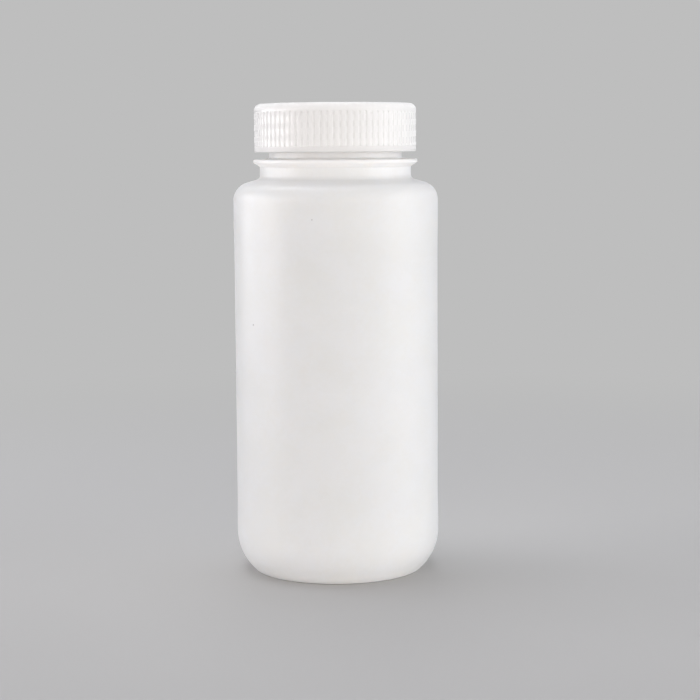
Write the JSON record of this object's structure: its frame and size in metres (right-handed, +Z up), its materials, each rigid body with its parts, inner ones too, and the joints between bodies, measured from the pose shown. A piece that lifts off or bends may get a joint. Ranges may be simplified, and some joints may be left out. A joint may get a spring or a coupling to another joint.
{
  "type": "wide-mouth bottle",
  "caption": "Round white bottle with a large rounded base, a sloping shoulder, a beaded neck with an outer screw thread, and a ribbed, slightly translucent screw cap with a foam liner.",
  "frame": {"origin": "middle of the circle that the bottle stands on", "axes": "+Z up along the bottle's axis; -Y faces the picture's camera"},
  "size_m": [0.0745, 0.0744, 0.1708],
  "materials": {
    "bottle_plastic": "satin",
    "cap_plastic": "satin",
    "liner_foam": "matte"
  },
  "bodies": {
    "bottle": {"bottle": "bottle_plastic"},
    "liner": {"liner": "liner_foam"},
    "cap": {"cap": "cap_plastic"}
  },
  "joints": [
    {"name": "cap_rise", "type": "slide", "parent": "bottle", "child": "liner", "axis": [0, 0, 1], "range_m": [0, 0.00889]},
    {"name": "cap_turn", "type": "hinge", "parent": "liner", "child": "cap", "pos_m": [0, 0, 0.16], "axis": [0, 0, 1], "range_deg": [0, 756]}
  ],
  "couplings": [
    {"joint": "cap_rise", "follows": "cap_turn", "m_per_rad": 0.00067322}
  ]
}
